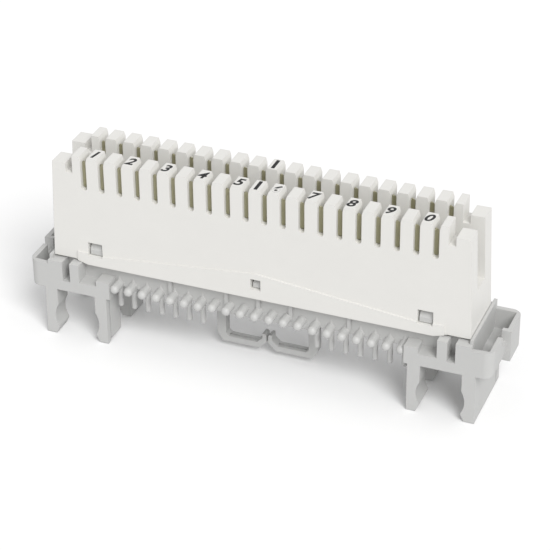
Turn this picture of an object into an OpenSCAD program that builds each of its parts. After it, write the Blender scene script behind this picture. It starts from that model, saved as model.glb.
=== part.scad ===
// Punch down wiring block: an upper housing with two rows of slotted teeth over
// insulation-displacement contacts, snapped onto a lower housing that clips onto
// two round rods. A trough between the rows lets a test plug part the springs.
// Millimetres. X runs along the block, Y from its front to its back, Z up;
// the origin is under the middle of the block, in the plane of its feet.

/* [Rods] */
// Diameter of the round rods that the clips grip
rod_d = 12; // [11.6:0.1:12.4]
// Distance between the axes of the two rods
rod_spacing = 95; // [94:0.25:96]
// Height of the rod axes above the feet
rod_z = 5.3; // [5:0.1:5.6]
// Width of the way into a clip, which is narrower than the rod
clip_mouth = 10.3; // [10:0.1:10.6]
// Depth of the front claws along the rod
claw_depth = 5.3; // [4.5:0.1:6]
// Thickness of a clip leg beside the rod's way in
leg_t = 3.2; // [2.8:0.1:3.4]

/* [Teeth] */
// Distance between neighbouring wire slots
slot_pitch = 4.68; // [4.6:0.02:4.72]
// Width of a wire slot
slot_w = 1.5; // [1.3:0.05:1.7]
// Depth of a wire slot below the tops of the teeth
slot_depth = 9; // [8:0.25:10]
// Width of a slot's lead-in at the tops of the teeth
lead_w = 2.2; // [2:0.1:2.6]
// Width of the notch between the last tooth and the end block
notch_w = 1.8; // [1.4:0.1:2.2]
// Width of an end block along X
end_block_w = 3.5; // [3:0.1:4]

/* [Upper housing] */
// Depth from front face to back face
upper_depth = 15.9; // [15.5:0.1:16.3]
// Height from the bottom edge to the tops of the teeth
upper_h = 28.9; // [28:0.1:30]
// Width of the trough between the rows of teeth
trough_w = 6; // [5.6:0.1:6.4]
// Thickness of the front and back walls
wall_t = 1.6; // [1.4:0.1:1.8]
// Draft of each end over the height of the end blocks
end_draft = 1.1; // [0.5:0.1:1.5]
// How far the skirt hangs below the bottom edge
skirt_drop = 0.95; // [0.6:0.05:1.2]
// How far the raised band at the foot of a wall stands proud
band_t = 0.35; // [0.2:0.05:0.5]

/* [Lower housing] */
// Depth from front to back
lower_depth = 20.7; // [20.3:0.1:21.3]
// Height of the upper housing's bottom edge above the feet
shoulder_z = 21.8; // [21.5:0.1:22.2]
// Height of the bridges' underside above the feet
bridge_z = 13.1; // [12.7:0.1:13.4]
// Height that the core stands inside the upper housing
core_rise = 8.7; // [8:0.1:9.5]
// Length of an end pocket along X
pocket_l = 7.2; // [6.6:0.1:7.8]
// Wall thickness of the end pockets
pocket_t = 1.2; // [1:0.1:1.4]

/* [Comb] */
// Distance between neighbouring pegs
peg_pitch = 3.72; // [3.66:0.02:3.76]
// Diameter of a peg
peg_d = 2.3; // [2:0.1:2.5]
// Diameter of a pin
pin_d = 1.4; // [1.2:0.1:1.6]
// Height of the pegs' axes above the feet
peg_z = 15.9; // [15.6:0.1:16.2]
// Length of a pin below its peg's axis
pin_l = 6.8; // [6:0.1:7.4]

/* [Ring] */
// Width of the split ring along X
ring_w = 26.7; // [26:0.1:27.4]
// Height of the ring's underside above the feet
ring_z = 1.9; // [1.5:0.1:2.3]
// Thickness of the ring's arms
ring_arm_t = 2.4; // [2.2:0.1:2.6]
// Thickness of the ring's bottom bar
ring_bar_t = 1.6; // [1.4:0.1:1.8]
// Thickness of the ring from front to back
ring_depth = 2.4; // [2:0.1:2.8]
// Gap between the tips where the ring is split
ring_split = 0.5; // [0.4:0.1:0.8]

/* [Contacts] */
// Thickness of the contacts' sheet metal
sheet_t = 0.5; // [0.4:0.05:0.6]
// Width of the fork that takes the wire
fork_w = 3.4; // [3.1:0.1:3.5]
// Gap between the two tines of a fork
fork_gap = 0.35; // [0.3:0.05:0.4]
// Depth of the fork's tips below the tops of the teeth
fork_sink = 2; // [1.5:0.1:2.5]
// Width of the spring strip along X
spring_w = 2; // [1.8:0.1:2.2]

/* [Fits] */
// Clearance between the housings, side to side
housing_clear = 0.1; // [0.05:0.01:0.15]
// Clearance round a contact in its chamber
contact_clear = 0.1; // [0.05:0.01:0.15]
// Open seam between the upper housing and the parts below it
seam = 0.06; // [0.04:0.02:0.1]

/* [Hidden] */
$fn = 48;
eps = 0.01;
slots = 20;
pegs_a_side = 10;

rod_x = rod_spacing / 2;
rod_r = rod_d / 2;
half_depth = lower_depth / 2;
half_upper = upper_depth / 2;
half_trough = trough_w / 2;

// Upper housing, along X
last_slot_x = (slots - 1) / 2 * slot_pitch;
end_tooth_w = 2.2;
teeth_end_x = last_slot_x + slot_w / 2 + end_tooth_w;
notch_end_x = teeth_end_x + notch_w;
upper_top_x = notch_end_x + end_block_w;
upper_foot_x = upper_top_x + end_draft;
end_wall_t = 2.5;
cavity_x = upper_foot_x - end_wall_t;

// Upper housing, along Z
teeth_z = shoulder_z + upper_h;
block_drop = 2.4;
notch_drop = 4.8;
block_z = teeth_z - block_drop;
notch_z = teeth_z - notch_drop;
slot_z = teeth_z - slot_depth;
lead_h = 1.2;
core_z = shoulder_z + core_rise;
trough_floor_z = core_z + wall_t;

// Skirt and raised band at the foot of the front and back walls
skirt_z = shoulder_z - skirt_drop;
ridge_h = 6.1;
ridge_end_h = 2;
band_h = 2.4;
band_panel_w = 12;
band_panel_h = 5.4;

// Snap windows and the hooks inside them
window_w = 3.8;
window_h = 3.7;
window_foot = 1.6;
mid_window_w = 2.6;
mid_window_h = 2.9;
window_x = upper_foot_x - 11.3;
hook_clear = 0.3;
hook_reach = 1.1;

// Lower housing: the core that the upper housing slides over
core_y = half_upper - wall_t - housing_clear;
core_x = cavity_x - housing_clear;
core_foot_z = bridge_z + 4;
comb_wall_t = 1.6;
comb_wall_z = peg_z - 0.7;
middle_wall_z = peg_z - 2.1;
middle_wall_x = ring_w / 2 - 0.3;
cell_h = core_z - wall_t - core_foot_z;
spine_t = 1.8;

// Lower housing: the head over each rod, measured from the rod's axis
head_in = -9.3;
block_out = -5.8;
bar_in = -1.2;
bar_out = 1.3;
groove_out = 3.3;
head_in_x = rod_x + head_in;
bar_x = rod_x + bar_in;
slope_w = 3.5;
slope_before_bar = 1.7;
ledge_gap = skirt_drop * (slope_w - slope_before_bar) / slope_w + seam;
ledge_z = shoulder_z - ledge_gap;
block_top_z = bridge_z + 4.8;
recess_z = bridge_z + 3.2;
groove_z = bridge_z + 2.8;

// Lower housing: clip legs
mouth_flare = 0.85;
lip_z = 1.8;
leg_taper = 0.5;
front_plate_t = 1.5;
plate_groove_w = 0.5;
plate_groove_t = 0.4;
body_lift = 0.6;
inner_leg_depth = 7.3;
outer_plate_t = 2.3;
web_t = 1.3;
web_front_y = -7.15;
web_back_y = 7.55;

// Lower housing: end pockets
plate_t = 0.8;
plate_x = upper_foot_x + housing_clear;
plate_z = shoulder_z + 0.5;
pocket_x = plate_x + pocket_l;
proud_x = pocket_x - 1.2;
rim_z = shoulder_z - 1.4;
front_rim_z = shoulder_z - 1.6;
pocket_foot_z = bridge_z + 0.1;
pocket_floor_z = pocket_foot_z + 1.8;
back_foot_z = bridge_z - 1;
gap_front_y = -2.45;
gap_back_y = 0.55;
gap_z = shoulder_z - 4.2;
corner_r = 2.4;
foot_r = 1.3;

// Comb
peg_front_y = -half_depth;
peg_back_y = -core_y + 0.4;
pin_y = -core_y + 0.3;
rib_w = 1;
rib_t = 0.6;
rib_slots = [-6.25, -2.25, 0, 2.25, 6.25];

// Contacts
row_y = (half_trough + half_upper) / 2;
fork_top_z = teeth_z - fork_sink;
fork_notch_z = slot_z + 0.8;
chamber_h = 5.5;
spring_foot_y = half_trough - 0.4;
spring_z = core_z + 8.5;
spring_lead = 0.9;
spring_lead_h = 1.8;
foot_back_y = half_upper - wall_t - 0.3;

rows = ["front", "rear"];

function contact_name(row, i) = str(row, "_contact_", i < 10 ? "0" : "", i);
function slot_x(i) = (i - (slots + 1) / 2) * slot_pitch;

// Copies its children to both sides of the plane X = 0.
module both_ends() {
    children();
    mirror([1, 0, 0]) children();
}

// Copies its children to both sides of the plane Y = 0.
module both_faces() {
    children();
    mirror([0, 1, 0]) children();
}

// Extrudes an XZ outline along Y, from y0 to y1.
module slab(y0, y1) {
    translate([0, y1, 0]) rotate([90, 0, 0]) linear_extrude(y1 - y0) children();
}

// Extrudes a YZ outline along X, centred on X = 0.
module strip(width) {
    rotate([90, 0, 90]) linear_extrude(width, center = true) children();
}

// A box given by its low and high corners.
module block(low, high) {
    translate(low) cube(high - low);
}

// ---- Upper housing ----

// Front outline of the housing, before its slots are cut.
module upper_outline() {
    polygon([
        [-upper_foot_x, shoulder_z], [upper_foot_x, shoulder_z],
        [upper_top_x, block_z], [notch_end_x, block_z],
        [notch_end_x, notch_z], [teeth_end_x, notch_z],
        [teeth_end_x, teeth_z], [-teeth_end_x, teeth_z],
        [-teeth_end_x, notch_z], [-notch_end_x, notch_z],
        [-notch_end_x, block_z], [-upper_top_x, block_z],
    ]);
}

// Outline of one wire slot: round at the bottom, with a lead-in at the top.
module slot_outline() {
    r = slot_w / 2;
    translate([0, slot_z + r]) circle(r);
    translate([-r, slot_z + r]) square([slot_w, slot_depth]);
    polygon([
        [-r, teeth_z - lead_h], [r, teeth_z - lead_h],
        [lead_w / 2, teeth_z], [lead_w / 2, teeth_z + 1],
        [-lead_w / 2, teeth_z + 1], [-lead_w / 2, teeth_z],
    ]);
}

// Lower edge of a wall: it hangs as a skirt between the two bridges.
module skirt_outline() {
    both_ends() polygon([
        [-eps, skirt_z], [bar_x - slope_before_bar, skirt_z],
        [bar_x + slope_w - slope_before_bar, shoulder_z],
        [bar_x + slope_w - slope_before_bar, shoulder_z + 1], [-eps, shoulder_z + 1],
    ]);
}

// Raised band along the foot of a wall, with a low gable towards the middle.
module band_outline() {
    intersection() {
        union() {
            both_ends() polygon([
                [-eps, skirt_z], [bar_x + 1, skirt_z],
                [bar_x + 1, shoulder_z + band_h], [window_x - 1.5, shoulder_z + band_h],
                [window_x - 1.5, shoulder_z + ridge_end_h], [-eps, shoulder_z + ridge_h],
            ]);
        }
        union() {
            skirt_outline();
            translate([-upper_foot_x, shoulder_z + 0.5]) square([2 * upper_foot_x, ridge_h]);
        }
    }
}

module window_cut(x, w, h) {
    translate([x - w / 2, -half_upper - 1, shoulder_z + window_foot])
        cube([w, wall_t + 1 + eps, h]);
}

// Room for one contact: a slanted pocket for its fork, over a chamber for its foot.
module contact_room() {
    slack = 2 * contact_clear;
    translate([0, -row_y, core_z - 1]) rotate(45)
        translate([-(fork_w + slack) / 2, -(sheet_t + slack) / 2, 0])
            cube([fork_w + slack, sheet_t + slack, fork_top_z + contact_clear - core_z + 1]);
    block(
        [-spring_w / 2 - contact_clear, -foot_back_y - contact_clear, core_z - 1],
        [spring_w / 2 + contact_clear, -half_trough + eps, core_z + chamber_h]
    );
}

module upper_housing() {
    color("whitesmoke") difference() {
        union() {
            slab(-half_upper, half_upper) upper_outline();
            both_faces() {
                slab(-half_upper, -half_upper + wall_t) skirt_outline();
                slab(-half_upper - band_t, -half_upper + eps) band_outline();
            }
        }
        block([-cavity_x, -half_upper + wall_t, shoulder_z - 1], [cavity_x, half_upper - wall_t, core_z]);
        block([-upper_foot_x, -half_trough, trough_floor_z], [upper_foot_x, half_trough, teeth_z + 1]);
        block([-teeth_end_x, -half_trough, core_z - eps], [teeth_end_x, half_trough, teeth_z]);
        for (i = [1:slots])
            translate([slot_x(i), 0, 0]) {
                slab(-half_upper - 1, half_upper + 1) slot_outline();
                contact_room();
                rotate(180) contact_room();
            }
        both_faces() {
            window_cut(-window_x, window_w, window_h);
            window_cut(0, mid_window_w, mid_window_h);
            window_cut(window_x, window_w, window_h);
        }
    }
}

// ---- Lower housing ----

// Wedge on the core that snaps into a window of the upper housing.
module hook(x, w, h) {
    foot_z = shoulder_z + window_foot + hook_clear / 2;
    translate([x, 0, 0]) strip(w - 2 * hook_clear) polygon([
        [-core_y + eps, foot_z], [-core_y - hook_reach, foot_z],
        [-core_y - hook_reach, foot_z + h * 0.35], [-core_y + eps, foot_z + h - 2 * hook_clear],
    ]);
}

module core() {
    difference() {
        block([-core_x, -core_y, core_foot_z], [core_x, core_y, core_z]);
        for (k = [-4:4])
            both_faces() translate([k * 2 * peg_pitch, 0, 0]) block(
                [-peg_pitch + 0.6, -core_y + comb_wall_t, core_foot_z - 1],
                [peg_pitch - 0.6, -spine_t / 2, core_foot_z + cell_h]
            );
    }
    both_faces() {
        block([-head_in_x - 1, -core_y, comb_wall_z], [head_in_x + 1, -core_y + comb_wall_t, core_foot_z + eps]);
        block([-middle_wall_x, -core_y, middle_wall_z], [middle_wall_x, -core_y + comb_wall_t, comb_wall_z + eps]);
        hook(-window_x, window_w, window_h);
        hook(0, mid_window_w, mid_window_h);
        hook(window_x, window_w, window_h);
        for (at = rib_slots)
            translate([at * peg_pitch, 0, 0])
                block([-rib_w / 2, -core_y - rib_t, peg_z], [rib_w / 2, -core_y + eps, skirt_z - seam]);
    }
}

// One finger of the comb: a round-nosed peg with a pin hanging behind it.
module finger(pin_len, z) {
    r = peg_d / 2;
    translate([0, peg_front_y + r, z]) {
        sphere(r);
        rotate([-90, 0, 0]) cylinder(r = r, h = peg_back_y - peg_front_y - r);
    }
    if (pin_len > 0)
        translate([0, pin_y, z - pin_len]) {
            translate([0, 0, pin_d / 2]) sphere(pin_d / 2);
            translate([0, 0, pin_d / 2]) cylinder(d = pin_d, h = pin_len);
            translate([0, 0, pin_len + pin_d / 2]) cylinder(d1 = pin_d, d2 = 0.2, h = peg_d);
        }
}

module comb() {
    both_faces() {
        for (k = [-pegs_a_side:pegs_a_side]) {
            in_middle = abs(k) * peg_pitch < middle_wall_x;
            translate([k * peg_pitch, 0, 0])
                finger(in_middle ? 0 : pin_l, in_middle ? peg_z + 0.4 : peg_z);
        }
    }
}

// Split ring under the middle of the core: two arms, a bottom bar and two upturned tips.
module ring_half_outline() {
    outer = ring_w / 2;
    inner = outer - ring_arm_t;
    bar_top = ring_z + ring_bar_t;
    tip_rise = 4.4;
    tip_x = ring_split / 2;
    turn_x = tip_x + 2;
    difference() {
        polygon([
            [outer, core_foot_z + 1], [outer, ring_z + 2.4], [outer - 1.5, ring_z],
            [turn_x, ring_z], [tip_x, ring_z + 2], [tip_x, ring_z + tip_rise - 0.4],
            [tip_x + 0.4, ring_z + tip_rise], [tip_x + 1, ring_z + tip_rise],
            [tip_x + 1.1, ring_z + 2.9], [turn_x + 0.6, bar_top],
            [inner - 0.8, bar_top], [inner, bar_top + 0.8], [inner, core_foot_z + 1],
        ]);
    }
}

module ring() {
    difference() {
        slab(-ring_depth / 2, ring_depth / 2) both_ends() ring_half_outline();
        block(
            [-ring_w / 2 + ring_arm_t, -0.35, ring_z + ring_bar_t - 0.4],
            [ring_w / 2 - ring_arm_t, 0.35, ring_z + ring_bar_t + 0.1]
        );
    }
}

// Outline of the leg on the +X side of a rod whose axis is at X = 0.
module leg_outline(taper) {
    mouth = clip_mouth / 2;
    difference() {
        polygon([
            [mouth, bridge_z + 1], [mouth, lip_z], [mouth + mouth_flare, 0],
            [mouth + leg_t + taper, 0], [mouth + leg_t, bridge_z + 1],
        ]);
        translate([0, rod_z]) circle(rod_r);
    }
}

// The inner leg stands on the side of the rod that faces the middle of the block.
module inner_leg() {
    body_y = -half_depth + inner_leg_depth;
    difference() {
        union() {
            slab(-half_depth, -half_depth + front_plate_t) mirror([1, 0]) leg_outline(0);
            intersection() {
                slab(-half_depth + front_plate_t - eps, body_y) mirror([1, 0]) leg_outline(0);
                block([-rod_x, -half_depth, body_lift], [0, body_y, bridge_z + 2]);
            }
        }
        block(
            [-clip_mouth / 2 - leg_t - 1, -half_depth + front_plate_t, -1],
            [-clip_mouth / 2 - leg_t + plate_groove_t, -half_depth + front_plate_t + plate_groove_w, bridge_z - 1]
        );
    }
    slab(half_depth - inner_leg_depth, half_depth) mirror([1, 0]) leg_outline(0);
}

module outer_leg() {
    slab(-half_depth, -half_depth + claw_depth) leg_outline(leg_taper / 2);
    slab(half_depth - outer_plate_t, half_depth) leg_outline(leg_taper / 2);
}

// Head over a rod: the bridge, its ledge, and the openings in its front and back.
module head() {
    top = shoulder_z + 2;
    difference() {
        block([head_in, -half_depth, bridge_z], [plate_x - rod_x + plate_t, half_depth, ledge_z]);
        both_faces() {
            block([head_in - 1, -half_depth - 1, block_top_z], [block_out, -core_y, top]);
            block([block_out - eps, -half_depth - 1, recess_z], [bar_in, -core_y, top]);
            block([bar_out, -half_depth - 1, groove_z], [groove_out, -core_y, top]);
        }
    }
}

// Pocket on the end of the block, open at the top.
module end_pocket() {
    difference() {
        union() {
            intersection() {
                slab(-half_depth, gap_back_y + 1) pocket_front_outline();
                translate([0, 0, back_foot_z]) linear_extrude(upper_h) pocket_plan(proud_x);
            }
            intersection() {
                block([plate_x - 1, gap_back_y, back_foot_z], [pocket_x, half_depth, rim_z]);
                translate([0, 0, back_foot_z - 1]) linear_extrude(upper_h) pocket_plan(pocket_x);
            }
        }
        block(
            [plate_x + plate_t, -half_depth + pocket_t, pocket_floor_z],
            [proud_x - pocket_t, gap_back_y + pocket_t + eps, plate_z + 1]
        );
        block(
            [plate_x + plate_t, gap_back_y + pocket_t, pocket_floor_z],
            [pocket_x - pocket_t, half_depth - pocket_t, plate_z + 1]
        );
        block([proud_x - pocket_t - eps, gap_front_y, gap_z], [pocket_x + 1, gap_back_y, plate_z + 1]);
    }
    block([plate_x, -half_depth + pocket_t, bridge_z], [plate_x + plate_t, half_depth, plate_z]);
}

module pocket_front_outline() {
    difference() {
        polygon([
            [plate_x, pocket_foot_z], [proud_x - foot_r, pocket_foot_z],
            [proud_x, pocket_foot_z + foot_r], [proud_x, rim_z], [plate_x, front_rim_z],
        ]);
    }
    translate([proud_x - foot_r, pocket_foot_z + foot_r]) circle(foot_r);
}

// Plan of the pocket, with its two outer corners rounded.
module pocket_plan(end_x) {
    translate([plate_x - 2, -half_depth]) square([end_x - plate_x + 2 - corner_r, lower_depth]);
    translate([end_x - corner_r - eps, -half_depth + corner_r])
        square([corner_r + eps, lower_depth - 2 * corner_r]);
    for (side = [-1, 1])
        translate([end_x - corner_r, side * (half_depth - corner_r)]) circle(corner_r);
}

module clip_end() {
    translate([rod_x, 0, 0]) {
        head();
        inner_leg();
        outer_leg();
    }
    end_pocket();
}

// Web that joins the claws of the outer leg on the +X end.
module leg_web() {
    out = rod_x + clip_mouth / 2 + leg_t;
    slab(-half_depth + claw_depth - eps, web_back_y) polygon([
        [out - web_t, bridge_z + 1], [out + leg_taper / 2 - web_t, 0],
        [out + leg_taper / 2, 0], [out, bridge_z + 1],
    ]);
}

module lower_housing() {
    color("silver") union() {
        core();
        comb();
        ring();
        both_ends() clip_end();
        leg_web();
    }
}

// ---- Contacts ----

// Fork of a contact, seen square to its sheet: two round-tipped tines over a stem.
module fork_outline() {
    tine_w = (fork_w - fork_gap) / 2;
    for (side = [-1, 1])
        translate([side * (fork_gap + tine_w) / 2, 0]) {
            translate([0, fork_top_z - tine_w / 2]) circle(tine_w / 2);
            translate([-tine_w / 2, core_z + sheet_t / 2])
                square([tine_w, fork_top_z - tine_w / 2 - core_z - sheet_t / 2]);
        }
    translate([-fork_w / 2, core_z + sheet_t / 2])
        square([fork_w, fork_notch_z - core_z - sheet_t / 2]);
}

// Spring of a contact, seen along X: a foot on the core and an arm up to the trough's middle.
module spring_outline() {
    translate([-foot_back_y, core_z]) square([foot_back_y - spring_foot_y + sheet_t, sheet_t]);
    polygon([
        [-spring_foot_y, core_z], [-spring_foot_y + sheet_t, core_z],
        [0, spring_z], [-sheet_t, spring_z],
    ]);
    polygon([
        [-sheet_t, spring_z - eps], [0, spring_z],
        [-spring_lead, spring_z + spring_lead_h], [-spring_lead - sheet_t, spring_z + spring_lead_h],
    ]);
}

module contact(row, i) {
    color("darkkhaki") translate([slot_x(i), 0, 0]) rotate(row == "front" ? 0 : 180) {
        translate([0, -row_y, 0]) rotate(45) slab(-sheet_t / 2, sheet_t / 2) fork_outline();
        strip(spring_w) spring_outline();
    }
}

upper_housing();
lower_housing();
for (row = rows, i = [1:slots])
    contact(row, i);
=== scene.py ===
import math
import bpy
from mathutils import Matrix, Vector


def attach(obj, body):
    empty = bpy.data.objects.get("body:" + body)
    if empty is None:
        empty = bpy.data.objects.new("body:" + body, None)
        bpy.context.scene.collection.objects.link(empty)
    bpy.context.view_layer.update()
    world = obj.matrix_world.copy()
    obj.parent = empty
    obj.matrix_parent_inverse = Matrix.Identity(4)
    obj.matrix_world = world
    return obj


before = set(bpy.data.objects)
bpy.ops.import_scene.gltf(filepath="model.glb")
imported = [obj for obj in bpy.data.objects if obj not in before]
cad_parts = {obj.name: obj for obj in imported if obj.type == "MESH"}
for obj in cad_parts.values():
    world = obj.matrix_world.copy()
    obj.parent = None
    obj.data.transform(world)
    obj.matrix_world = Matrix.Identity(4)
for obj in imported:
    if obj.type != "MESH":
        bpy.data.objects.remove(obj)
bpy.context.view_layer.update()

MM = 0.001

# Sizes of the printed marks, in millimetres, and the rows they lie on.
SLOTS = 20
SLOT_PITCH = 4.68
TEETH_TOP = 50.7
ROW_Y = 5.475
DIGIT_HEIGHT = 3.2
DIGIT_SLANT = 0.22
BAR_SIZE = (0.85, 4.1)
PRINT_THICKNESS = 0.03
PRINT_Z = TEETH_TOP + PRINT_THICKNESS / 2

# Camera: its turn to the right of the front, its height and its roll in degrees, its place in metres.
CAMERA_AZIMUTH = 21.96
CAMERA_ELEVATION = 31.88
CAMERA_ROLL = -0.58
CAMERA_PLACE = (0.16137, -0.39581, 0.28874)
CAMERA_LENS = 135.84
CAMERA_SENSOR = 36

# Floor and light.
FLOOR_SIZE = 6
FLOOR_Z = -0.0001
FLOOR_GREY = 0.75
SURROUND_GREY = 0.62
SUN_ENERGY = 1.9
SUN_ANGLE = 0.5
SUN_SIDE = (0.5, -0.5, 0.7)

# Scales of the mottle and of the grain, in noise cells a metre.
MOTTLE_SCALE = 180
GRAIN_SCALE = 2500
GRAIN_HEIGHT = 0.05


def noise(tree, coords, scale, detail):
    """A noise texture over the object's own coordinates."""
    texture = tree.nodes.new("ShaderNodeTexNoise")
    texture.inputs["Scale"].default_value = scale
    texture.inputs["Detail"].default_value = detail
    tree.links.new(coords.outputs["Object"], texture.inputs["Vector"])
    return texture


def moulded(name, colour, roughness, metallic=0.0, edge=0.18, grain=0.03, mottle=0.015):
    """A material with softened edges, a fine grain and a faint mottle."""
    material = bpy.data.materials.new(name)
    material.use_nodes = True
    material.diffuse_color = (*colour, 1)
    tree = material.node_tree
    shader = tree.nodes["Principled BSDF"]
    shader.inputs["Metallic"].default_value = metallic
    shader.inputs["Roughness"].default_value = roughness
    coords = tree.nodes.new("ShaderNodeTexCoord")

    tint = tree.nodes.new("ShaderNodeMix")
    tint.data_type = "RGBA"
    tint.inputs["A"].default_value = (*(c * (1 - mottle) for c in colour), 1)
    tint.inputs["B"].default_value = (*(min(1, c * (1 + mottle)) for c in colour), 1)
    tree.links.new(noise(tree, coords, MOTTLE_SCALE, 2).outputs["Fac"], tint.inputs["Factor"])
    tree.links.new(tint.outputs["Result"], shader.inputs["Base Color"])

    edges = tree.nodes.new("ShaderNodeBevel")
    edges.samples = 6
    edges.inputs["Radius"].default_value = edge * MM
    bump = tree.nodes.new("ShaderNodeBump")
    bump.inputs["Strength"].default_value = grain
    bump.inputs["Distance"].default_value = GRAIN_HEIGHT * MM
    tree.links.new(noise(tree, coords, GRAIN_SCALE, 3).outputs["Fac"], bump.inputs["Height"])
    tree.links.new(edges.outputs["Normal"], bump.inputs["Normal"])
    tree.links.new(bump.outputs["Normal"], shader.inputs["Normal"])
    return material


def dress(piece, material):
    """Gives a piece one material."""
    piece.data.materials.clear()
    piece.data.materials.append(material)


def alone(piece):
    """Makes a piece the only one selected, and the active one."""
    bpy.ops.object.select_all(action="DESELECT")
    piece.select_set(True)
    bpy.context.view_layer.objects.active = piece


def settled(piece):
    """Applies a piece's place, turn and scale to its mesh."""
    alone(piece)
    bpy.ops.object.transform_apply(location=True, rotation=True, scale=True)
    return piece


def joined(pieces, name):
    """One piece made of several."""
    bpy.ops.object.select_all(action="DESELECT")
    for piece in pieces:
        piece.select_set(True)
    bpy.context.view_layer.objects.active = pieces[0]
    bpy.ops.object.join()
    pieces[0].name = name
    return pieces[0]


def digit(text, x, y):
    """A slanted printed digit that lies on top of a tooth and reads from the front."""
    bpy.ops.object.text_add(location=(0, 0, 0))
    letter = bpy.context.object
    letter.data.body = text
    letter.data.align_x = "CENTER"
    letter.data.align_y = "CENTER"
    letter.data.size = 1
    letter.data.shear = DIGIT_SLANT
    letter.data.offset = 0.025
    letter.data.extrude = 0.01
    alone(letter)
    bpy.ops.object.convert(target="MESH")
    letter = bpy.context.object
    low = [min(v.co[k] for v in letter.data.vertices) for k in range(3)]
    high = [max(v.co[k] for v in letter.data.vertices) for k in range(3)]
    scale = DIGIT_HEIGHT * MM / (high[1] - low[1])
    letter.scale = (scale, scale, PRINT_THICKNESS * MM / (high[2] - low[2]))
    settled(letter)
    middle = [(a + b) / 2 * scale for a, b in zip(low[:2], high[:2])]
    letter.location = (x * MM - middle[0], y * MM - middle[1], PRINT_Z * MM)
    return settled(letter)


def bar(x, y):
    """A printed bar along Y on top of a tooth."""
    bpy.ops.mesh.primitive_cube_add(size=1, location=(x * MM, y * MM, PRINT_Z * MM))
    mark = bpy.context.object
    mark.scale = (BAR_SIZE[0] * MM, BAR_SIZE[1] * MM, PRINT_THICKNESS * MM)
    return settled(mark)


def slot_x(i):
    """Middle of wire slot i, counted from 1 at the left."""
    return (i - (SLOTS + 1) / 2) * SLOT_PITCH


def camera():
    """The camera, to the right of the front and above."""
    azimuth = math.radians(CAMERA_AZIMUTH)
    elevation = math.radians(CAMERA_ELEVATION)
    roll = math.radians(CAMERA_ROLL)
    back = Vector((
        math.sin(azimuth) * math.cos(elevation),
        -math.cos(azimuth) * math.cos(elevation),
        math.sin(elevation),
    ))
    right = (-back).cross(Vector((0, 0, 1))).normalized()
    up = right.cross(-back)
    turned_right = right * math.cos(roll) + up * math.sin(roll)
    turned_up = up * math.cos(roll) - right * math.sin(roll)
    data = bpy.data.cameras.new("camera")
    data.lens = CAMERA_LENS
    data.sensor_width = CAMERA_SENSOR
    cam = bpy.data.objects.new("camera", data)
    cam.matrix_world = Matrix((
        (turned_right.x, turned_up.x, back.x, CAMERA_PLACE[0]),
        (turned_right.y, turned_up.y, back.y, CAMERA_PLACE[1]),
        (turned_right.z, turned_up.z, back.z, CAMERA_PLACE[2]),
        (0, 0, 0, 1),
    ))
    bpy.context.collection.objects.link(cam)
    bpy.context.scene.camera = cam


def seen_directly(tree, seen, otherwise):
    """A colour that is one grey where the camera looks at it and another for every other ray."""
    path = tree.nodes.new("ShaderNodeLightPath")
    mix = tree.nodes.new("ShaderNodeMix")
    mix.data_type = "RGBA"
    mix.inputs["A"].default_value = (otherwise, otherwise, otherwise, 1)
    mix.inputs["B"].default_value = (seen, seen, seen, 1)
    tree.links.new(path.outputs["Is Camera Ray"], mix.inputs["Factor"])
    return mix.outputs["Result"]


def studio():
    """A plain white floor under the feet, a white surround and one broad light from the front right."""
    bpy.ops.mesh.primitive_plane_add(size=FLOOR_SIZE, location=(0, 0, FLOOR_Z))
    floor = bpy.context.object
    floor.name = "floor"
    paint = bpy.data.materials.new("floor_white")
    paint.use_nodes = True
    shader = paint.node_tree.nodes["Principled BSDF"]
    shader.inputs["Roughness"].default_value = 1
    shader.inputs["Specular IOR Level"].default_value = 0
    colour = seen_directly(paint.node_tree, 1.0, FLOOR_GREY)
    paint.node_tree.links.new(colour, shader.inputs["Base Color"])
    dress(floor, paint)

    world = bpy.data.worlds.new("world")
    bpy.context.scene.world = world
    world.use_nodes = True
    background = world.node_tree.nodes["Background"]
    background.inputs["Strength"].default_value = 1
    colour = seen_directly(world.node_tree, 1.0, SURROUND_GREY)
    world.node_tree.links.new(colour, background.inputs["Color"])

    sun = bpy.data.lights.new("sun", "SUN")
    sun.energy = SUN_ENERGY
    sun.angle = SUN_ANGLE
    lamp = bpy.data.objects.new("sun", sun)
    lamp.rotation_euler = Vector(SUN_SIDE).to_track_quat("Z", "Y").to_euler()
    bpy.context.collection.objects.link(lamp)


white = moulded("white_plastic", (0.80, 0.79, 0.76), 0.42)
grey = moulded("grey_plastic", (0.57, 0.57, 0.56), 0.45)
brass = moulded("plated_brass", (0.66, 0.64, 0.47), 0.32, metallic=1.0, edge=0.05)
black = moulded("black_print", (0.015, 0.015, 0.015), 0.55, edge=0.01)

for name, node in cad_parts.items():
    if name == "upper_housing":
        dress(node, white)
    elif name == "lower_housing":
        dress(node, grey)
    else:
        dress(node, brass)

digits = [
    digit(str(k % 10), (slot_x(2 * k - 1) + slot_x(2 * k)) / 2, -ROW_Y)
    for k in range(1, SLOTS // 2 + 1)
]
numbers = joined(digits, "tooth_numbers")
bars = joined([bar(0, -ROW_Y), bar(0, ROW_Y)], "row_marks")
for piece in (numbers, bars):
    dress(piece, black)
    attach(piece, "root")

camera()
studio()
bpy.context.scene.view_settings.view_transform = "Standard"
